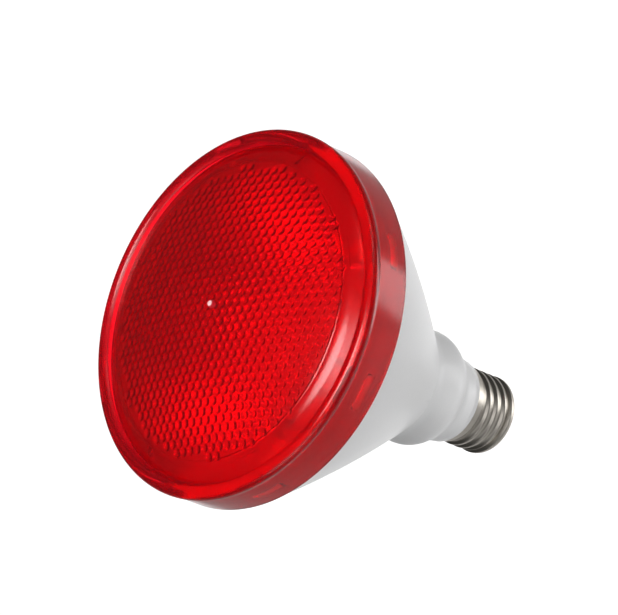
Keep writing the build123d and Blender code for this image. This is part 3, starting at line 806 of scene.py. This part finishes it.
class LAMP_OT_housing(bpy.types.Operator):
    """Finish the white housing and the seal under the lens"""

    bl_idname = "lamp.housing"
    bl_label = "Housing"

    def execute(self, context):
        # Polyester moulded in a lightly etched tool: an even cool white with a broad, soft sheen
        white = mottled(
            "moulded white PBT",
            context.scene.lamp_finishes.housing,
            linear("#D8D8D9"),
            grain_mm=0.6,
            roughness=0.32,
            spread=0.05,
            bump=0.10,
            IOR=1.52,
        )
        dress_node("housing_moulding", "housing", HOUSING_CREASE, white, "white_plastic")
        # Cast rubber: milky white and matt, with a faint unevenness
        rubber = mottled(
            "white silicone",
            linear("#EEEEEC"),
            linear("#E6E6E4"),
            grain_mm=0.8,
            roughness=0.55,
            spread=0.08,
            bump=0.2,
        )
        paint(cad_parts["seal_ring"], rubber)
        return {"FINISHED"}


class LAMP_OT_heat_sink(bpy.types.Operator):
    """Press the bright aluminium cup that lines the cone"""

    bl_idname = "lamp.heat_sink"
    bl_label = "Heat-Sink Cup"

    def execute(self, context):
        # Rolled and pressed sheet: a bright grey metal that throws light back in soft patches
        bright = mottled(
            "pressed aluminium",
            context.scene.lamp_finishes.cup,
            linear("#E6E5E2"),
            grain_mm=0.5,
            roughness=0.28,
            spread=0.06,
            bump=0.15,
            Metallic=1.0,
        )
        dress_node("reflector_cup", "heat_sink_cup", CUP_CREASE, bright, "aluminium")
        return {"FINISHED"}


class LAMP_OT_light_board(bpy.types.Operator):
    """Finish the light board and what is fixed to it"""

    bl_idname = "lamp.light_board"
    bl_label = "Light Board"

    def execute(self, context):
        # Name, two colours that the grain mixes, grain in millimetres, roughness
        finishes = {
            # Filled rubber: dull blue-grey, like putty
            "thermal_pad": ("silicone pad", "#9C9FA6", "#A8ABB2", 0.4, 0.75),
            # Printed lacquer: clean white with an egg-shell gloss
            "led_board": ("white solder mask", "#EDEDE6", "#E4E4DC", 0.5, 0.35),
            # Resin full of powder: warm yellow, slightly cloudy
            "led_chips": ("phosphor gel", "#F2CF55", "#EBC444", 0.3, 0.4),
            # Plated by the barrel: cool grey metal with worn, uneven gloss
            "board_screws": ("zinc-plated steel", "#A9AAAE", "#9B9CA0", 0.3, 0.3),
            # Moulded and matt: ivory
            "lead_terminal": ("moulded nylon", "#E4E0D2", "#DBD7C8", 0.4, 0.5),
            # Extruded and smooth: plain red and plain black with a soft shine
            "positive_lead": ("red PVC insulation", "#B01818", "#A81414", 0.5, 0.4),
            "negative_lead": ("black PVC insulation", "#161616", "#1E1E1E", 0.5, 0.4),
        }
        for node, (name, base, shade, grain, rough) in finishes.items():
            skin = mottled(
                name,
                linear(base),
                linear(shade),
                grain,
                rough,
                spread=0.06,
                bump=0.15,
                Metallic=1.0 if node == "board_screws" else 0.0,
            )
            paint(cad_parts[node], skin)
        return {"FINISHED"}


class LAMP_OT_driver(bpy.types.Operator):
    """Finish the driver board, its parts and the mains leads"""

    bl_idname = "lamp.driver"
    bl_label = "Driver"

    def execute(self, context):
        # Name, two colours that the grain mixes, grain in millimetres, roughness
        finishes = {
            # Lacquer over glass fibre: deep green with an egg-shell gloss
            "driver_board": ("green solder mask", "#0F5B33", "#14683B", 0.5, 0.35),
            # Pressed and fired powder: dull charcoal
            "transformer": ("sintered ferrite", "#2A2A2D", "#343437", 0.4, 0.7),
            "filter_choke": ("wound ferrite", "#2C2A2A", "#383434", 0.4, 0.6),
            # Shrunk film: near-black and shiny, a little wavy
            "input_capacitor": ("black PVC sleeve", "#17171C", "#1F1F25", 0.6, 0.35),
            "output_capacitor": ("dark PVC sleeve", "#191920", "#212128", 0.6, 0.35),
            # Filled resin from an eroded tool: black and evenly matt
            "bridge_rectifier": ("moulded epoxy", "#1A1A1A", "#242424", 0.2, 0.6),
            "driver_chip": ("moulded black epoxy", "#1B1B1C", "#252526", 0.2, 0.6),
            # Dipped and baked: sky blue with a wet shine
            "fusible_resistor": ("blue lacquer", "#5C86BC", "#527CB2", 0.4, 0.3),
            # Extruded and smooth: plain red and plain black with a soft shine
            "live_lead": ("red lead insulation", "#B01818", "#A81414", 0.5, 0.4),
            "neutral_lead": ("black lead insulation", "#161616", "#1E1E1E", 0.5, 0.4),
        }
        for node, (name, base, shade, grain, rough) in finishes.items():
            skin = mottled(
                name, linear(base), linear(shade), grain, rough, spread=0.05, bump=0.2
            )
            paint(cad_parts[node], skin)
        return {"FINISHED"}


def shell_profile(sizes):
    """The screw shell's closed section without its thread, down the outside and up the inside."""
    radius, root, lip = sizes.radius, sizes.root_radius, sizes.lip_radius
    wall, low, turn = sizes.wall, -sizes.depth, sizes.end_round
    zone_high = sizes.thread_span / 2 - sizes.thread_mid
    zone_low = -sizes.thread_span / 2 - sizes.thread_mid
    zone = zone_low - zone_high
    # Height and fillet of the step from the thread's root out to the plain band below it
    step, fillet = 0.6 * MM, 0.35 * MM
    outer = rounded([(radius, 0, 0), (radius, -sizes.plain, fillet), (root, zone_high, 0)], 4)
    for k in range(1, THREAD_ROWS):
        outer.append((root, zone_high + zone * k / THREAD_ROWS))
    outer += rounded(
        [
            (root, zone_low, 0),
            (radius, zone_low - step, fillet),
            (radius, low, turn),
            (lip, low, 0),
        ],
        8,
    )
    # The inside follows the rounded end in two straights and has every other row of the thread
    inner = [
        (lip, low + wall),
        (radius - turn, low + wall),
        (radius - wall - 0.3 * MM, low + turn * 0.6),
        (radius - wall, low + turn),
        (radius - wall, zone_low - step),
    ]
    for k in range(THREAD_ROWS // 2, -1, -1):
        inner.append((root - wall, zone_high + zone * 2 * k / THREAD_ROWS))
    inner += [(radius - wall, -sizes.plain), (radius - wall, 0)]
    return outer + inner


class LAMP_OT_screw_cap(bpy.types.Operator):
    """Roll the screw shell and fit its insulator and centre contact"""

    bl_idname = "lamp.screw_cap"
    bl_label = "Screw Cap"

    def execute(self, context):
        sizes = context.scene.lamp_cap
        finishes = context.scene.lamp_finishes
        # Plate over rolled sheet: a warm grey metal with broad, slightly blurred highlights
        nickel = mottled(
            "nickel-plated brass",
            finishes.cap,
            linear("#D2CBC1"),
            grain_mm=1.2,
            roughness=0.36,
            spread=0.06,
            bump=0.12,
            Metallic=1.0,
        )
        blank = turned("shell", shell_profile(sizes), SHELL_SEGMENTS, closed=True)
        finish_mesh(blank, SHELL_CREASE)
        shell = link_mesh("screw_shell_rolled", blank)
        run_tree(
            shell,
            thread_tree(),
            {
                "Pitch": sizes.pitch,
                "Depth": sizes.thread_depth,
                "Middle": -sizes.thread_mid,
                "Full Reach": sizes.thread_span / 2 - sizes.thread_fade,
                "End Reach": sizes.thread_span / 2,
                "Material": nickel,
            },
        )
        seat_piece(shell, "nickel", "screw_shell")

        # Glass fused into the shell: black and wet-looking, with a faint ripple
        glassy = mottled(
            "black vitreous glass",
            finishes.insulator,
            linear("#0C0C0D"),
            grain_mm=1.5,
            roughness=0.12,
            spread=0.05,
            bump=0.1,
            IOR=1.52,
        )
        dress_node("insulator_glass", "cap_insulator", CAP_CREASE, glassy, "black_glass")
        dress_node("contact_button", "centre_contact", CAP_CREASE, nickel, "nickel")
        return {"FINISHED"}


def of_lamp(towards_camera, sideways, along):
    """A vector from its shares towards the camera's side, across it and along the lamp's axis."""
    turn = math.radians(CAMERA_TURN)
    radial = Vector((math.cos(turn), math.sin(turn), 0))
    across = Vector((-math.sin(turn), math.cos(turn), 0))
    return radial * towards_camera + across * sideways + Vector((0, 0, 1)) * along


def aim(thing, right, up, back, place):
    """Turns a camera or a light to three axes, puts it in its place and adds it to the scene."""
    thing.matrix_world = Matrix((
        (right.x, up.x, back.x, place.x),
        (right.y, up.y, back.y, place.y),
        (right.z, up.z, back.z, place.z),
        (0, 0, 0, 1),
    ))
    bpy.context.scene.collection.objects.link(thing)


def lay_floor(tint):
    """A pale sheet of paper far below the lamp, with an oval pool of light painted on it as glow.
    """
    # Uncoated paper: an even matt off-white, with a painted glow
    paper = mottled(
        "studio paper with painted glow",
        tint,
        linear("#D7D7D7"),
        grain_mm=3.0,
        roughness=0.8,
        spread=0.05,
        bump=0.05,
        Emission_Color=(1, 1, 1, 1),
    )
    tree = paper.node_tree
    place = add_node(tree, "ShaderNodeTexCoord").outputs["Object"]
    # The painted pool of light is wider than the picture
    offset = add_node(
        tree, "ShaderNodeVectorMath", {0: place, 1: POOL_CENTRE}, operation="SUBTRACT"
    ).outputs[0]
    oval = add_node(
        tree, "ShaderNodeVectorMath", {0: offset, 1: POOL_SQUEEZE}, operation="MULTIPLY"
    ).outputs[0]
    away = add_node(tree, "ShaderNodeVectorMath", {0: oval}, operation="LENGTH").outputs["Value"]
    # Painted light: the paper glows fully in the pool and faintly over the rest of the floor
    glow = add_node(
        tree,
        "ShaderNodeMapRange",
        {
            "Value": away,
            "From Min": POOL_INNER,
            "From Max": POOL_OUTER,
            "To Min": POOL_GLOW,
            "To Max": FLOOR_GLOW,
        },
        interpolation_type="SMOOTHSTEP",
    )
    shader = tree.nodes["Principled BSDF"]
    tree.links.new(glow.outputs[0], shader.inputs["Emission Strength"])

    sheet = bmesh.new()
    bmesh.ops.create_grid(
        sheet, x_segments=FLOOR_SQUARES, y_segments=FLOOR_SQUARES, size=FLOOR_REACH
    )
    bmesh.ops.translate(sheet, verts=sheet.verts, vec=(0, 0, FLOOR_LEVEL))
    mesh = bpy.data.meshes.new("floor")
    sheet.to_mesh(mesh)
    sheet.free()
    floor = link_mesh("studio_floor", mesh)
    paint(floor, paper)


def set_camera(scene):
    """The camera at the photograph's angle."""
    camera = bpy.data.objects.new("camera", bpy.data.cameras.new("camera"))
    camera.data.lens = FOCAL_PIXELS / PICTURE_WIDTH * SENSOR_MM
    camera.data.sensor_fit = "HORIZONTAL"
    camera.data.clip_end = CAMERA_CLIP
    aim(
        camera,
        right=of_lamp(0.62244, 0.37722, -0.68576),
        up=-of_lamp(0.24846, -0.92610, -0.28391),
        back=-of_lamp(-0.74218, 0.00634, -0.67017),
        place=of_lamp(1.24296, 0, 1.1942),
    )
    scene.camera = camera


def set_lights():
    """Soft boxes round the lamp, most of them with a grid that keeps their light off the floor."""
    # All of them point at the middle of the lamp's wide end
    middle = Vector((0, 0, 0.09))
    # Spread of the beams in degrees
    gridded, bare = 70, 180
    # Name, direction, distance, width, height, watts, spread, and whether gloss shows it
    lights = (
        ("key", of_lamp(0.12, -0.05, 0.99), 1.2, 0.44, 0.62, 0.72, gridded, True),
        ("front", of_lamp(0.72, 0.0, 0.68), 1.3, 1.20, 1.20, 0.62, gridded, True),
        ("panel", of_lamp(0.55, -0.75, 0.30), 1.0, 0.80, 0.80, 0.18, gridded, True),
        ("side", of_lamp(0.475, 0.570, -0.67), 0.55, 0.60, 0.20, 0.8, bare, True),
        ("fill", of_lamp(0.46, 0.0, 0.89), 1.2, 0.50, 0.50, 1.9, gridded, False),
        ("upper", of_lamp(0.30, 0.80, 0.52), 1.1, 0.45, 0.45, 0.45, gridded, False),
        ("lower", of_lamp(0.32, -0.85, 0.42), 1.1, 0.45, 0.45, 0.34, gridded, False),
        ("rear", of_lamp(0.62, 0.05, -0.77), 0.55, 0.40, 0.40, 0.9, bare, False),
    )
    axis = Vector((0, 0, 1))
    for name, towards, distance, width, height, watts, spread, mirrored in lights:
        light = bpy.data.lights.new(name, "AREA")
        light.shape = "RECTANGLE" if name == "side" else "ELLIPSE"
        light.size, light.size_y = width, height
        light.energy = watts
        light.spread = math.radians(spread)
        soft_box = bpy.data.objects.new(name, light)
        back = towards.normalized()
        across = (axis - back * axis.dot(back)).normalized()
        aim(soft_box, across, back.cross(across), back, middle + back * distance)
        soft_box.visible_camera = False
        soft_box.visible_glossy = mirrored


class LAMP_OT_stage(bpy.types.Operator):
    """Set up the floor, the studio light and the camera"""

    bl_idname = "lamp.stage"
    bl_label = "Stage"

    def execute(self, context):
        scene = context.scene
        scene.view_settings.view_transform = "Standard"
        lay_floor(scene.lamp_finishes.floor)
        set_camera(scene)
        set_lights()
        world = bpy.data.worlds.new("studio")
        world.use_nodes = True
        tree = world.node_tree
        tree.nodes.clear()
        sky = add_node(
            tree, "ShaderNodeBackground", {"Color": (1, 1, 1, 1), "Strength": WORLD_STRENGTH}
        )
        add_node(tree, "ShaderNodeOutputWorld", {"Surface": sky.outputs[0]})
        scene.world = world
        return {"FINISHED"}


class LAMP_PT_panel(bpy.types.Panel):
    """Lists the lamp's pieces and sizes"""

    bl_label = "LED Reflector Lamp"
    bl_idname = "LAMP_PT_panel"
    bl_space_type = "VIEW_3D"
    bl_region_type = "UI"
    bl_category = "Lamp"

    def draw(self, context):
        layout = self.layout
        for operator in OPERATORS:
            layout.operator(operator.bl_idname)
        for title, group in (
            ("Lens", context.scene.lamp_lens),
            ("Screw Cap", context.scene.lamp_cap),
            ("Finishes", context.scene.lamp_finishes),
        ):
            box = layout.box()
            box.label(text=title)
            for name in group.__annotations__:
                box.prop(group, name)


OPERATORS = (
    LAMP_OT_lens,
    LAMP_OT_housing,
    LAMP_OT_heat_sink,
    LAMP_OT_light_board,
    LAMP_OT_driver,
    LAMP_OT_screw_cap,
    LAMP_OT_stage,
)
CLASSES = (LensSizes, CapSizes, LampFinishes, *OPERATORS, LAMP_PT_panel)


def register():
    """Makes the classes and the scene's properties known to Blender."""
    for item in CLASSES:
        bpy.utils.register_class(item)
    bpy.types.Scene.lamp_lens = PointerProperty(type=LensSizes)
    bpy.types.Scene.lamp_cap = PointerProperty(type=CapSizes)
    bpy.types.Scene.lamp_finishes = PointerProperty(type=LampFinishes)


def unregister():
    """Takes back what register made known."""
    del bpy.types.Scene.lamp_lens
    del bpy.types.Scene.lamp_cap
    del bpy.types.Scene.lamp_finishes
    for item in reversed(CLASSES):
        bpy.utils.unregister_class(item)


def main():
    """Builds the lamp piece by piece."""
    register()
    bpy.ops.lamp.lens()
    bpy.ops.lamp.housing()
    bpy.ops.lamp.heat_sink()
    bpy.ops.lamp.light_board()
    bpy.ops.lamp.driver()
    bpy.ops.lamp.screw_cap()
    bpy.ops.lamp.stage()


if __name__ == "__main__":
    main()
